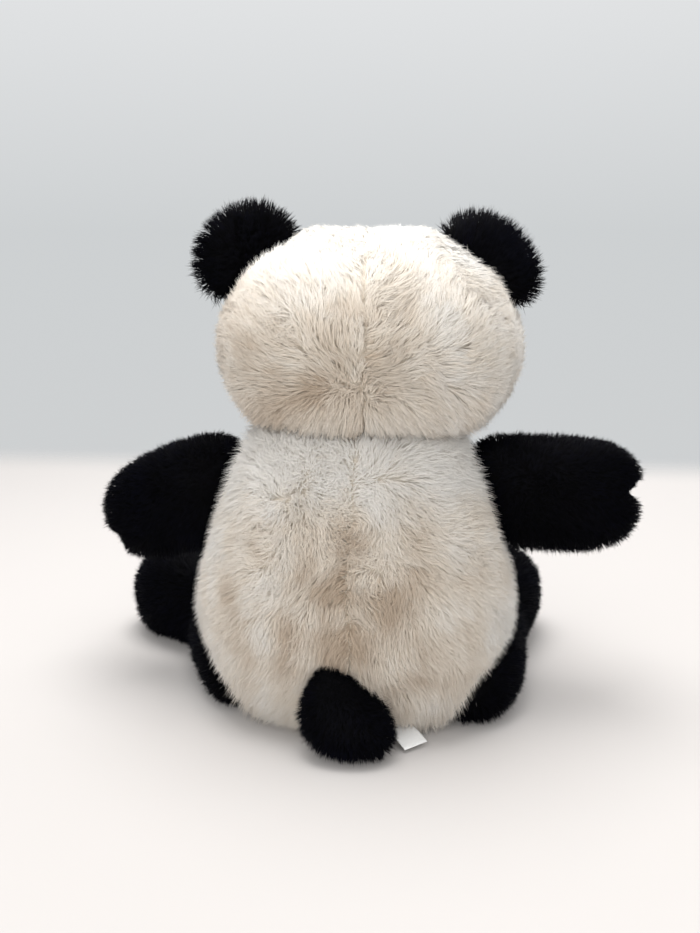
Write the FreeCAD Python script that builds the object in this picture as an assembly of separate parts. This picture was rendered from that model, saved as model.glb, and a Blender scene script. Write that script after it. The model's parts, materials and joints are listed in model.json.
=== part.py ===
"""Seated plush panda: sewn skins over stuffed cores, on hinged limbs, in millimetres.

+Z is up, the panda faces -Y and its left side is +X. The origin is the centre of the flat seat.
Each stuffed body part is a loft through oval sections. Its skin is that loft less a smaller one,
cut into the panels that are sewn together, and its filling is the smaller loft.
"""
import FreeCAD, Part
import math
import os

V = FreeCAD.Vector
UP = V(0, 0, 1)
SIDE = V(1, 0, 0)
BACK = V(0, 1, 0)

# ---- driving dimensions (mm, degrees) ----
SKIN = 2.5              # backing cloth plus the dense root of the pile
PLAY = 0.2              # air between a filling and its skin
GAP = 0.5               # air between parts that move against each other
LIMB_GAP = 0.7          # air between the torso and the limbs that bend against it
BIG = 1200.0            # size of the blocks that cut panels apart
FAR = 200.0             # where rays that look for a surface start
OVAL_POINTS = 16        # points round one oval section
THIN_STRETCH = 4.0      # thin shapes are lofted this much thicker along Y, then scaled back
LEAST_HALF_AXIS = 1.0   # smaller ovals are left out of a core

TORSO_HEIGHT = 145.0
TORSO_HALF_WIDTH = 78.0
TORSO_HALF_DEPTH = 62.0
SEAT_SEAM_HEIGHT = 4.0
BEAN_BAG_CENTRE = V(0, 2, 22)
BEAN_BAG_HALF_AXES = (46.0, 38.0, 15.0)

STITCH_COUNT = 7        # ladder stitches that close the back seam
STITCH_PITCH = 7.0
STITCH_LENGTH = 6.0
STITCH_RADIUS = 0.5
LOWEST_STITCH = 62.0

LABEL_WIDTH = 13.0
LABEL_LENGTH = 18.0
LABEL_THICKNESS = 0.5
LABEL_DIP = 12.0        # how far the label's free end hangs below level
LABEL_TURN = 38.0       # how far it is turned away from the middle of the back
LABEL_CORNER = V(-22.5, 50.5, 6.2)

HEAD_BOTTOM = 150.0
HEAD_HEIGHT = 87.5
HEAD_HALF_WIDTH = 72.5
HEAD_HALF_DEPTH = 58.0
HEAD_X = -6.0           # the head sits a little to the panda's right
HEAD_Y = -4.0

NECK_BALL_RADIUS = 22.0
NECK_CENTRE = V(-3, -2, 147.5)

EAR_WIDTH = 51.0
EAR_HEIGHT = 30.5
EAR_THICKNESS = 10.0
EAR_SLOPE = 38.0        # the ear's base line against the horizontal
EAR_BASE_X = {1: 55.0, -1: 53.0}        # the base line's middle, from the head's centre plane
EAR_BASE_HEIGHT = {1: 219.5, -1: 217.5}
EAR_TILT = {1: 4.0, -1: 36.0}   # how far the left and right ear lean forward
EAR_LIMIT = 25.0

ARM_LENGTH = 79.0
ARM_WIDTH = 53.0
ARM_THICKNESS = 33.0
ARM_ROOT_HEIGHT = 111.5
ARM_ROOT_X = 62.0       # the shoulder seam's middle, from the torso's centre plane
ARM_BEND = 0.3          # how far along the arm its ovals turn from the seam to the paw, and sagging starts
PAW_CLEFT = 9.0         # depth of the notch in the paw's tip
PAW_CLEFT_HALF_WIDTH = 7.5      # at the mouth of the wedge that cuts it
PAW_CLEFT_MARGIN = 3.0  # how far that wedge stands out of the paw

FOOT_HALF_WIDTH = 25.5
FOOT_HALF_HEIGHT = 25.0
SOLE_SEAM = 1.12        # where the sole's seam is, in leg lengths from the hip
BOW_MIDDLE = 0.5        # where the leg is bowed most, in leg lengths
BOW_SPREAD = 0.3
FLOOR_GAP = 0.2         # how far the legs, tail and label sit above the seat's own plane

TAIL_HALF_WIDTH = 19.0
TAIL_HALF_DEPTH = 11.0

MUZZLE_CENTRE = V(HEAD_X, HEAD_Y - 49, HEAD_BOTTOM + 25)
MUZZLE_HALF_AXES = (26.0, 21.0, 17.5)
EYE_RADIUS = 6.0
EYE_X = 25.0            # from the head's centre plane
EYE_HEIGHT = HEAD_BOTTOM + 0.53 * HEAD_HEIGHT
EYE_STAND = 1.8         # how far the eye's flat back is outside the skin
EYE_TURN = 16.0         # how far the eyes look outwards
EYE_SHANK = 13.0
EYE_PATCH_TOP = 1.6     # the patch's outer face above the skin
EYE_PATCH_HALF_LENGTH = 18.0
EYE_PATCH_HALF_WIDTH = 13.5
EYE_PATCH_SLANT = 28.0
EYE_PATCH_OUT = 2.5     # the patch's middle, from the eye
EYE_PATCH_DOWN = 3.5
NOSE_HALF_AXES = (8.5, 5.0, 5.8)
NOSE_UP = 9.0           # above the muzzle's middle
NOSE_SUNK = 1.0
NOSE_SHANK = 24.0
MOUTH_DOWN = 4.0        # where the mouth forks, below the muzzle's middle
MOUTH_RISE = 6.0
MOUTH_HALF_WIDTH = 7.0
MOUTH_DROP = 3.5
THREAD_RADIUS = 0.9
SHANK_RADIUS = 1.8
SHANK_END = 3.0         # how far a shank stands out behind its washer
SNAP_PLAY = 0.05
SEWN_PLAY = 0.1         # air under what is sewn onto the head
WASHER_RADIUS = 7.5
WASHER_THICKNESS = 1.6


# ---- shared geometry ----
def section(centre, wide, a, high, b, squareness=2.3):
    """One oval: half-width a along the direction wide, half-height b along high."""
    return {"c": centre, "u": wide, "a": a, "v": high, "b": b, "n": squareness}


def oval(s, grow=0.0, shift=0.0, stretch=1.0):
    """The closed curve of a section, grown outwards, moved along its normal and stretched along Y."""
    centre = s["c"] + s["u"].cross(s["v"]) * shift
    points = []
    for i in range(OVAL_POINTS):
        t = 2 * math.pi * i / OVAL_POINTS
        c, d = math.cos(t), math.sin(t)
        x = math.copysign(abs(c) ** (2 / s["n"]), c) * (s["a"] + grow)
        y = math.copysign(abs(d) ** (2 / s["n"]), d) * (s["b"] + grow)
        point = centre + s["u"] * x + s["v"] * y
        points.append(V(point.x, point.y * stretch, point.z))
    curve = Part.BSplineCurve()
    curve.interpolate(points, PeriodicFlag=True)
    return Part.Wire(curve.toShape())


def loft(sections, grow=0.0, stretch=1.0):
    """A closed solid through the sections; a negative grow gives the core inside a skin."""
    kept = [s for s in sections if min(s["a"], s["b"]) + grow > LEAST_HALF_AXIS]
    wires = []
    for s in kept:
        shift = -grow if s is kept[0] else grow if s is kept[-1] else 0.0
        wires.append(oval(s, grow, shift, stretch))
    solid = Part.makeLoft(wires, True, False)
    if stretch != 1.0:
        matrix = FreeCAD.Matrix()
        matrix.scale(V(1, 1 / stretch, 1))
        solid = solid.transformGeometry(matrix)
    if solid.Volume < 0:
        solid.reverse()
    return solid


def half_space(point, normal):
    """A large block whose one face passes through point; it fills the side that normal points to."""
    block = Part.makeBox(BIG, BIG, BIG, V(-BIG / 2, -BIG / 2, 0))
    block.Placement = FreeCAD.Placement(point, FreeCAD.Rotation(UP, normal))
    return block


def side_of(shape, point, normal):
    """The part of shape on the side of a plane that normal points to."""
    return shape.common(half_space(point, normal))


def turned(shape, centre, axis, degrees):
    """A copy of shape, turned about an axis."""
    copy = shape.copy()
    copy.rotate(centre, axis, degrees)
    return copy


def relieved(shape, obstacle, centre, axis, angles):
    """shape less all that would meet the obstacle while shape turns about the axis."""
    for angle in angles:
        shape = shape.cut(turned(obstacle, centre, axis, -angle))
    return shape


def biggest(shape):
    """The largest solid of a cut's result."""
    return max(shape.Solids, key=lambda s: s.Volume)


def ellipsoid(centre, a, b, c):
    """An ellipsoid with half-axes along X, Y and Z."""
    matrix = FreeCAD.Matrix()
    matrix.scale(V(a, b, c))
    matrix.move(centre)
    return Part.makeSphere(1.0).transformGeometry(matrix)


def stuffed(sections, cut_by=()):
    """(skin, filling) of a stuffed part, with the cut_by solids taken from both."""
    skin = loft(sections).cut(loft(sections, -SKIN))
    filling = loft(sections, -SKIN - PLAY)
    for tool in cut_by:
        skin = skin.cut(tool)
        filling = filling.cut(tool)
    return skin, filling


# ---- sections of each stuffed part ----
def torso_sections():
    """A pear that is flat where it sits and broad at the shoulders."""
    profile = [
        (0.0, 0.64), (0.027, 0.75), (0.093, 0.855), (0.213, 0.95), (0.347, 1.0), (0.50, 0.965),
        (0.667, 0.865), (0.813, 0.755), (0.92, 0.66), (0.973, 0.59), (1.0, 0.49),
    ]
    return [
        section(V(0, 0, TORSO_HEIGHT * h), SIDE, TORSO_HALF_WIDTH * w, BACK, TORSO_HALF_DEPTH * w)
        for h, w in profile
    ]


def head_sections():
    """A wide, low head with a flat crown and cheeks that hang low."""
    profile = [
        (0.0, 0.64, 0.62), (0.035, 0.77, 0.76), (0.10, 0.885, 0.87), (0.21, 0.965, 0.955),
        (0.33, 1.0, 1.0), (0.45, 0.995, 1.0), (0.57, 0.95, 0.965), (0.68, 0.86, 0.90),
        (0.79, 0.735, 0.79), (0.90, 0.585, 0.64), (0.97, 0.445, 0.48), (1.0, 0.29, 0.30),
    ]
    return [
        section(V(HEAD_X, HEAD_Y, HEAD_BOTTOM + HEAD_HEIGHT * h), SIDE, HEAD_HALF_WIDTH * w,
                BACK, HEAD_HALF_DEPTH * d)
        for h, w, d in profile
    ]


def arm_frame(side, seam_tilt):
    """(middle of the shoulder seam, direction up the seam) for side +1 left or -1 right."""
    t = math.radians(seam_tilt)
    return V(side * ARM_ROOT_X, 0, ARM_ROOT_HEIGHT), V(-side * math.sin(t), 0, math.cos(t))


def arm_directions(side, droop, forward):
    """(along the arm, up its width, through its thickness) for an arm that droops and points forward."""
    d, f = math.radians(droop), math.radians(forward)
    out = V(side * math.cos(d) * math.cos(f), -math.cos(d) * math.sin(f), -math.sin(d))
    through = V(-math.sin(f), -side * math.cos(f), 0)
    return out, through.cross(out), through


def arm_sections(side, seam_tilt, droop, forward, sag):
    """A flat paddle: a thin sewn root, then a rounded paw. Its outer end narrows and sinks by the sag."""
    root, seam = arm_frame(side, seam_tilt)
    out, up, through = arm_directions(side, droop, forward)
    profile = [
        (0.0, 0.88, 0.13), (0.09, 0.95, 0.46), (0.25, 1.0, 0.86), (0.45, 1.0, 1.0),
        (0.64, 0.985, 1.0), (0.80, 0.90, 0.90), (0.91, 0.72, 0.70), (0.975, 0.45, 0.42),
        (1.0, 0.2, 0.2),
    ]
    sections = []
    for along, width, thick in profile:
        bend = min(1.0, along / ARM_BEND)
        wide = seam + (up - seam) * bend
        wide.normalize()
        flat = BACK * -side + (through - BACK * -side) * bend
        flat.normalize()
        drop = sag * max(0.0, along - ARM_BEND)
        centre = root + out * (ARM_LENGTH * along) - wide * drop
        half_width = ARM_WIDTH / 2 * width - drop / 2
        sections.append(section(centre, wide, half_width, flat, ARM_THICKNESS / 2 * thick))
    return sections


def leg_frame(hip, foot):
    """(direction along the leg, direction across it) in plan."""
    along = V(foot.x - hip.x, foot.y - hip.y, 0)
    along.normalize()
    return along, V(-along.y, along.x, 0)


def leg_sections(side, hip, foot, bow):
    """A thigh that curves round the torso's flank on the floor, and a round upright foot.

    The profile holds the place along the leg, the bulge outwards, the two half-widths and the
    height of the lowest point above the floor. The bow draws the middle of the leg inwards.
    """
    along, across = leg_frame(hip, foot)
    length = math.hypot(foot.x - hip.x, foot.y - hip.y)
    profile = [
        (-0.42, 6.0, 0.42, 0.40, 6.0), (-0.34, 8.0, 0.66, 0.60, 3.0), (-0.18, 8.5, 0.84, 0.78, 0.5),
        (0.04, 6.0, 0.88, 0.84, 0.0), (0.28, 2.5, 0.88, 0.84, 0.0), (0.52, 0.0, 0.87, 0.84, 0.0),
        (0.72, 0.0, 0.93, 0.92, 0.0), (0.90, 0.0, 1.0, 1.0, 0.0), (1.08, 0.0, 0.94, 0.96, 0.5),
        (1.19, 0.0, 0.74, 0.76, 4.0), (1.24, 0.0, 0.5, 0.52, 10.0),
    ]
    sections = []
    for s, bulge, width, high, lift in profile:
        half = FOOT_HALF_HEIGHT * high
        bulge = bulge - bow * math.exp(-((s - BOW_MIDDLE) / BOW_SPREAD) ** 2)
        centre = V(hip.x, hip.y, 0) + along * (length * s) + across * (side * bulge)
        centre = centre + UP * (half + lift + FLOOR_GAP)
        sections.append(section(centre, across, FOOT_HALF_WIDTH * width, UP, half))
    return sections


def ear_sections(side):
    """A flat, round ear that stands on its straight base."""
    base, along, out = ear_frame(side)
    profile = [
        (0.0, 0.90, 0.32), (0.14, 0.99, 0.80), (0.38, 1.0, 1.0), (0.62, 0.90, 1.0),
        (0.80, 0.70, 0.86), (0.93, 0.42, 0.6), (1.0, 0.2, 0.3),
    ]
    return [
        section(base + out * (EAR_HEIGHT * h), along, EAR_WIDTH / 2 * w, out.cross(along),
                EAR_THICKNESS / 2 * t)
        for h, w, t in profile
    ]


def ear_frame(side):
    """(middle of the base, direction along the base, direction the ear points)."""
    t = math.radians(EAR_SLOPE)
    tilt = math.radians(EAR_TILT[side])
    base = V(HEAD_X + side * EAR_BASE_X[side], HEAD_Y, EAR_BASE_HEIGHT[side])
    along = V(side * math.cos(t), 0, -math.sin(t))
    out = V(side * math.sin(t), 0, math.cos(t)) * math.cos(tilt) - BACK * math.sin(tilt)
    return base, along, out


def tail_sections():
    """A drop: narrow at its sewn top, wide and round near the floor."""
    profile = [
        (0.0, 0.24, 0.30), (0.12, 0.40, 0.52), (0.30, 0.66, 0.80), (0.55, 0.93, 1.0),
        (0.76, 1.0, 1.0), (0.90, 0.80, 0.80), (0.97, 0.52, 0.5), (1.0, 0.3, 0.3),
    ]
    return [
        section(TAIL_TOP + (TAIL_TIP - TAIL_TOP) * s, SIDE, TAIL_HALF_WIDTH * w, BACK * -1, TAIL_HALF_DEPTH * d)
        for s, w, d in profile
    ]


# ---- placement of the limbs ----
SAG = {"left": 9.0, "right": 0.0}
CLEFT_AT = {"left": 0.17, "right": -0.06}   # how far below the paw's tip the notch is, in arm widths
ARM_SWINGS = {"left": (-25, 0, 15), "right": (-18, 0, 30)}     # forward is positive
LEG_LIFTS = {"left": (0, 6, 12), "right": (0, 10, 20)}
HIPS = {"left": V(57, -6, 22), "right": V(-55, -2, 22)}
FEET = {"left": V(113, -79, 0), "right": V(-75, -92, 0)}
LEG_BOW = {"left": 11.0, "right": 0.0}
SEAM_TILT = {"left": 19.0, "right": 18.0}
DROOP = {"left": 15.0, "right": 2.0}
FORWARD = {"left": 17.0, "right": 4.0}
SIDES = {"left": 1, "right": -1}
TAIL_TOP = V(9, 64.0, 41)
TAIL_TIP = V(-6, 73.5, 4.5)


# ---- bodies ----
def make_torso():
    """Back panels, belly, seat, filling, bean bag, closing stitches and label."""
    ball = Part.makeSphere(NECK_BALL_RADIUS + GAP, NECK_CENTRE)
    skin, filling = stuffed(torso_sections(), [ball])
    stitches = make_closing_stitches()
    seam = V(0, 0, SEAT_SEAM_HEIGHT)
    upper = side_of(skin, seam, UP).cut(stitches)
    rear = side_of(upper, V(0, 0, 0), BACK)
    a, b, c = BEAN_BAG_HALF_AXES
    return {
        "back_panel_left": side_of(rear, V(0, 0, 0), SIDE),
        "back_panel_right": side_of(rear, V(0, 0, 0), SIDE * -1),
        "belly_panel": side_of(upper, V(0, 0, 0), BACK * -1),
        "seat_panel": side_of(skin, seam, UP * -1),
        "torso_filling": filling.cut(ellipsoid(BEAN_BAG_CENTRE, a + PLAY, b + PLAY, c + PLAY)),
        "bean_bag": ellipsoid(BEAN_BAG_CENTRE, a, b, c),
        "closing_stitches": stitches,
        "care_label": make_label(),
    }


def surface_point(solid, start, direction):
    """Where a ray from outside first meets a solid."""
    far = start + direction * BIG
    hits = Part.makeLine(start, far).common(solid)
    return min((v.Point for v in hits.Vertexes), key=lambda p: (p - start).Length)


def make_closing_stitches():
    """Thread bars across the centre back seam, sunk to the middle of the skin."""
    body = loft(torso_sections())
    bars = []
    for i in range(STITCH_COUNT):
        p = surface_point(body, V(0, FAR, LOWEST_STITCH + STITCH_PITCH * i), BACK * -1)
        start = V(-STITCH_LENGTH / 2, p.y - SKIN / 2, p.z)
        bars.append(Part.makeCylinder(STITCH_RADIUS, STITCH_LENGTH, start, SIDE))
    return Part.makeCompound(bars)


def make_label():
    """A small folded care label that leaves the seat seam beside the tail."""
    label = Part.makeBox(LABEL_WIDTH, LABEL_LENGTH, LABEL_THICKNESS, V(-LABEL_WIDTH / 2, 0, 0))
    label.rotate(V(0, 0, 0), SIDE, -LABEL_DIP)
    label.rotate(V(0, 0, 0), UP, LABEL_TURN)
    label.translate(LABEL_CORNER)
    body = loft(torso_sections(), PLAY)
    return biggest(label.cut(body))


def make_neck():
    """The ball of filling in the neck opening."""
    return {"neck_filling": Part.makeSphere(NECK_BALL_RADIUS, NECK_CENTRE)}


def shank_and_washer(point, inward, depth):
    """A plastic shank through the skin and the lock washer that holds it behind the skin."""
    shank = Part.makeCylinder(SHANK_RADIUS, depth, point, inward)
    seat = point + inward * (depth - SHANK_END - WASHER_THICKNESS)
    washer = Part.makeCylinder(WASHER_RADIUS, WASHER_THICKNESS, seat, inward)
    washer = washer.cut(Part.makeCylinder(SHANK_RADIUS + SNAP_PLAY, BIG, seat - inward, inward))
    room = Part.makeCylinder(WASHER_RADIUS + PLAY, WASHER_THICKNESS + 2 * PLAY, seat - inward * PLAY, inward)
    room = room.fuse(Part.makeCylinder(SHANK_RADIUS + PLAY, depth + PLAY, point, inward))
    return shank, washer, room


def eye_place(side):
    """(point on the face, direction into the head) of one eye."""
    start = V(HEAD_X + side * EYE_X, -FAR, EYE_HEIGHT)
    point = surface_point(loft(head_sections(), EYE_STAND), start, BACK)
    t = math.radians(EYE_TURN)
    inward = V(-side * math.sin(t), math.cos(t), 0.0)
    return point, inward


def make_eye_patch(side):
    """A thin oval of short black pile sewn on the face, tilted outwards and down."""
    layer = loft(head_sections(), EYE_PATCH_TOP).cut(loft(head_sections(), SEWN_PLAY))
    point, _ = eye_place(side)
    curve = Part.Ellipse(V(0, 0, 0), EYE_PATCH_HALF_LENGTH, EYE_PATCH_HALF_WIDTH)
    outline = Part.Face(Part.Wire(curve.toShape()))
    outline.rotate(V(0, 0, 0), SIDE, 90)
    outline.rotate(V(0, 0, 0), BACK, 90 - side * EYE_PATCH_SLANT)
    outline.translate(V(point.x + side * EYE_PATCH_OUT, -FAR, point.z - EYE_PATCH_DOWN))
    return biggest(layer.common(outline.extrude(BACK * FAR)))


def muzzle_form(grow):
    """The full form of the muzzle, of which the part in front of the face shows."""
    a, b, c = MUZZLE_HALF_AXES
    return ellipsoid(MUZZLE_CENTRE, a + grow, b + grow, c + grow)


def make_face_features():
    """Eyes, nose, muzzle and mouth with their washers; also the room they need in skin and filling."""
    parts, rooms = {}, []
    for name, side in SIDES.items():
        point, inward = eye_place(side)
        shank, washer, room = shank_and_washer(point, inward, EYE_SHANK)
        dome = Part.makeSphere(EYE_RADIUS, point)
        dome = side_of(dome, point, inward * -1)
        parts["eye_" + name] = dome.fuse(shank).removeSplitter()
        parts["eye_washer_" + name] = washer
        socket = Part.makeSphere(EYE_RADIUS + PLAY, point)
        patch = make_eye_patch(side).cut(room).cut(socket)
        parts["eye_patch_" + name] = biggest(patch.cut(muzzle_form(PLAY)))
        rooms.append(room)
    head = loft(head_sections(), SEWN_PLAY)
    muzzle = biggest(muzzle_form(0.0).cut(head))
    tip = surface_point(muzzle, V(HEAD_X, -FAR, MUZZLE_CENTRE.z + NOSE_UP), BACK) + BACK * NOSE_SUNK
    shank, washer, room = shank_and_washer(tip, BACK, NOSE_SHANK)
    a, b, c = NOSE_HALF_AXES
    nose = ellipsoid(tip, a, b, c)
    parts["nose"] = nose.fuse(shank).removeSplitter()
    parts["nose_washer"] = washer
    rooms.append(room)
    mouth = make_mouth(muzzle)
    nose_room = ellipsoid(tip, a + PLAY, b + PLAY, c + PLAY)
    parts["muzzle"] = biggest(muzzle.cut(room).cut(nose_room).cut(mouth))
    parts["mouth_stitch"] = mouth
    return parts, rooms


def make_mouth(muzzle):
    """Three bars of black thread: up to the nose, and out and down to both sides."""
    fork = V(HEAD_X, -FAR, MUZZLE_CENTRE.z - MOUTH_DOWN)
    ends = [
        fork + UP * MOUTH_RISE,
        fork + SIDE * MOUTH_HALF_WIDTH - UP * MOUTH_DROP,
        fork - SIDE * MOUTH_HALF_WIDTH - UP * MOUTH_DROP,
    ]
    start = surface_point(muzzle, fork, BACK)
    thread = Part.makeSphere(THREAD_RADIUS, start)
    for place in ends:
        end = surface_point(muzzle, place, BACK)
        bar = Part.makeCylinder(THREAD_RADIUS, (end - start).Length, start, end - start)
        thread = thread.fuse(bar).fuse(Part.makeSphere(THREAD_RADIUS, end))
    return thread.removeSplitter()


def make_head():
    """Back panels, face panels, filling and the features of the face."""
    features, rooms = make_face_features()
    ball = Part.makeSphere(NECK_BALL_RADIUS + GAP, NECK_CENTRE)
    skin, filling = stuffed(head_sections(), [ball] + rooms)
    middle = V(HEAD_X, HEAD_Y, 0)
    rear = side_of(skin, middle, BACK)
    face = side_of(skin, middle, BACK * -1)
    panels = {
        "head_back_left": side_of(rear, middle, SIDE),
        "head_back_right": side_of(rear, middle, SIDE * -1),
        "face_panel_left": side_of(face, middle, SIDE),
        "face_panel_right": side_of(face, middle, SIDE * -1),
        "head_filling": filling,
    }
    panels.update(features)
    return panels


def make_ear(name):
    """Two flat panels sewn face to face, with nothing between them."""
    side = SIDES[name]
    base, along, out = ear_frame(side)
    ear = loft(ear_sections(side), 0.0, THIN_STRETCH)
    ear = biggest(relieved(ear, loft(head_sections(), GAP), base, along, (0, -EAR_LIMIT, EAR_LIMIT)))
    through = along.cross(out) * side
    return {
        "ear_back_" + name: side_of(ear, base, through * -1),
        "ear_front_" + name: side_of(ear, base, through),
    }


def cleft(sections, place, grow):
    """The wedge that notches the tip of a paw right through, grown all round by grow."""
    tip = sections[-1]["c"]
    up = sections[-1]["u"]
    through = sections[-1]["v"]
    out = tip - sections[-2]["c"]
    out.normalize()
    mouth = tip + out * PAW_CLEFT_MARGIN - up * (ARM_WIDTH * place) - through * ARM_THICKNESS
    root = mouth - out * (PAW_CLEFT + PAW_CLEFT_MARGIN + grow)
    half = up * (PAW_CLEFT_HALF_WIDTH + grow)
    face = Part.Face(Part.makePolygon([root, mouth + half, mouth - half, root]))
    return face.extrude(through * (2 * ARM_THICKNESS))


def make_arm(name):
    """Back and front panels and the filling, with the notch of the paw."""
    side = SIDES[name]
    sections = arm_sections(side, SEAM_TILT[name], DROOP[name], FORWARD[name], SAG[name])
    root, seam = arm_frame(side, SEAM_TILT[name])
    _, _, through = arm_directions(side, DROOP[name], FORWARD[name])
    outer = loft(sections, 0.0, THIN_STRETCH).cut(cleft(sections, CLEFT_AT[name], 0.0))
    inner = loft(sections, -SKIN, THIN_STRETCH).cut(cleft(sections, CLEFT_AT[name], SKIN))
    core = loft(sections, -SKIN - PLAY, THIN_STRETCH).cut(cleft(sections, CLEFT_AT[name], SKIN + PLAY))
    torso = loft(torso_sections(), LIMB_GAP)
    skin = biggest(relieved(outer.cut(inner), torso, root, seam * -side, ARM_SWINGS[name]))
    filling = biggest(relieved(core, torso, root, seam * -side, ARM_SWINGS[name]))
    return {
        "arm_back_" + name: biggest(side_of(skin, root, through * -side)),
        "arm_front_" + name: biggest(side_of(skin, root, through * side)),
        "arm_filling_" + name: filling,
    }


def make_leg(name):
    """Outer, inner and sole panels and the filling; the thigh is hollowed to clear the torso."""
    side, hip, foot = SIDES[name], HIPS[name], FEET[name]
    along, across = leg_frame(hip, foot)
    obstacle = loft(torso_sections(), LIMB_GAP)
    sections = leg_sections(side, hip, foot, LEG_BOW[name])
    skin, filling = stuffed(sections)
    skin = relieved(skin, obstacle, hip, across * -1, LEG_LIFTS[name])
    room = loft(torso_sections(), GAP + SKIN)
    filling = relieved(filling, room, hip, across * -1, LEG_LIFTS[name])
    sole_at = V(hip.x, hip.y, 0) + along * ((foot - V(hip.x, hip.y, 0)).Length * SOLE_SEAM)
    upper = side_of(skin, sole_at, along * -1)
    return {
        "leg_outer_" + name: biggest(side_of(upper, hip, across * side)),
        "leg_inner_" + name: biggest(side_of(upper, hip, across * -side)),
        "foot_sole_" + name: biggest(side_of(skin, sole_at, along)),
        "leg_filling_" + name: biggest(filling),
    }


def make_tail():
    """Upper and lower panels and the filling."""
    obstacle = loft(torso_sections(), GAP)
    skin, filling = stuffed(tail_sections())
    skin = skin.cut(obstacle)
    filling = filling.cut(obstacle)
    outward = SIDE.cross(TAIL_TIP - TAIL_TOP)
    return {
        "tail_outer": biggest(side_of(skin, TAIL_TOP, outward)),
        "tail_inner": biggest(side_of(skin, TAIL_TOP, outward * -1)),
        "tail_filling": biggest(filling),
    }


def build():
    """Every node by name."""
    nodes = {}
    nodes.update(make_torso())
    nodes.update(make_neck())
    nodes.update(make_head())
    for name in SIDES:
        nodes.update(make_ear(name))
        nodes.update(make_arm(name))
        nodes.update(make_leg(name))
    nodes.update(make_tail())
    return nodes


def main():
    os.makedirs("parts", exist_ok=True)
    for name, shape in build().items():
        shape.exportStep("parts/" + name + ".step")
        print(name, "solids", len(shape.Solids), "valid", shape.isValid(), "volume", round(shape.Volume))


main()
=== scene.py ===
"""The looks of the seated plush panda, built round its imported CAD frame. Metres, row frame."""
import json
import math

import bpy
import numpy as np
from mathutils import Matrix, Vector
from mathutils.bvhtree import BVHTree
from mathutils.kdtree import KDTree


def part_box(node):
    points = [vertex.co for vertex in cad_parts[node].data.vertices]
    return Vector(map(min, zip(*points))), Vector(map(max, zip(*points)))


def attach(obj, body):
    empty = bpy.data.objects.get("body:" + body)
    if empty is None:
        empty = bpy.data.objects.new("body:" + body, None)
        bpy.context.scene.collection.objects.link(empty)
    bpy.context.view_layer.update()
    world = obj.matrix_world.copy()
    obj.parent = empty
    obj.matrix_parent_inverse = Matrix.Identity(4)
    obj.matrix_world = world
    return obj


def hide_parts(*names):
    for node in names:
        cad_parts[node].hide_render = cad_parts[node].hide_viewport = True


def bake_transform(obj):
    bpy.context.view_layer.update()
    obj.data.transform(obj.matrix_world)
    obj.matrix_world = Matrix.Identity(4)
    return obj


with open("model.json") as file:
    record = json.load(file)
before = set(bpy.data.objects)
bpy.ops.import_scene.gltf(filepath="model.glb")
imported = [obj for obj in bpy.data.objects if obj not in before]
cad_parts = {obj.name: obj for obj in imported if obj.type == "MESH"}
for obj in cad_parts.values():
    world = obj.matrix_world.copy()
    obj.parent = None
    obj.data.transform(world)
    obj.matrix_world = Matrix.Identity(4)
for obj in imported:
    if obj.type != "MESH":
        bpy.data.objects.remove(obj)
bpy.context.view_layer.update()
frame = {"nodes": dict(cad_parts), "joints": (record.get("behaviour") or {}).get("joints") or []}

MM = 0.001
NODES = frame["nodes"]
JOINTS = {j["name"]: j for j in frame["joints"]}
STRANDS = 1.0         # share of the pile's strands that is made
SOFTEN = 2.5                            # how far the strands are shaded like the skin below them
PIECE_LIMIT = 19500                     # strands in one piece
CLOTH_FRAMES = 20                       # how long the filling presses the cloth out
NO_SEAM = 20 * MM                       # seam distance of a patch that has no seams
SEAM_REACH = 4 * MM                     # how far from a seam the cloth dips and the pile parts
SEAM_LENGTH = 0.78                      # share of their length that strands have right at a seam
SEAM_FADE = 16 * MM                     # distance over which strands grow by their whole length
ROOT_DEPTH = 0.4 * MM                   # how deep in its cloth a strand starts
BEND_JITTER = 0.25 * MM                 # how far a strand's bend wanders
LEAST_STRAND = 0.8 * MM                 # shorter strands are left out
TIP_HEIGHT = 0.3 * MM                   # the lowest that a strand's tip or bend may be
LEAST_HEIGHT = 0.2 * MM                 # the lowest that any of its points may be
LEAN_RANGE = (4, 74)                    # degrees that a strand may lean from upright
LOCK_LEAN, TUFT_LEAN, STRAND_LEAN, PLACE_LEAN = 6, 5, 4, 6      # degrees that each of these adds at random
TUFT_PULL = 0.10                        # share of the way that a tip moves to its tuft's tip
SAG = 0.06                              # share of its length that a tip hangs down
SHADE_SPREAD, SHADE_WAVE = 0.05, 0.12   # how far shades differ between strands, and from place to place

# ---- the pile ----
# length and radius of a strand in metres, and density in strands per square metre; lean in degrees from
# upright; clump, the strands in a lock, and tuft, the width of a tuft of locks; gather, the share of the way
# that a tip moves to its lock's tip; swirl, turn, tuft_turn and stray, how far the combing differs from
# place to place, between locks, between tufts and between strands; guard, the share of single hairs, which
# lean by only guard_lean of the rest; part, how strongly the pile parts at a seam
CREAM_PILE = dict(length=11.0 * MM, radius=0.20 * MM, density=2.4e6, lean=56, clump=12, gather=0.28,
                  swirl=0.55, turn=0.17, stray=0.11, tuft=8 * MM, tuft_turn=0.28,
                  guard=0.12, guard_lean=0.7, part=1.0)
BLACK_PILE = dict(length=6.5 * MM, radius=0.17 * MM, density=2.6e6, lean=26, clump=9, gather=0.52,
                  swirl=0.5, turn=0.38, stray=0.28, tuft=6 * MM, tuft_turn=0.3,
                  guard=0.25, guard_lean=0.35, part=1.0)
SPARSE = (                              # share of the strands that some panels have, each one wider
    ("belly", 0.66), ("seat", 0.3), ("face_panel", 0.8), ("leg_", 0.62), ("foot_", 0.62), ("arm_", 0.74),
)
NOTCH = {                               # middle of the notch in each paw
    "left": (0.1266, -0.0197, 0.0776),
    "right": (-0.1359, -0.0051, 0.1121),
}
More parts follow.
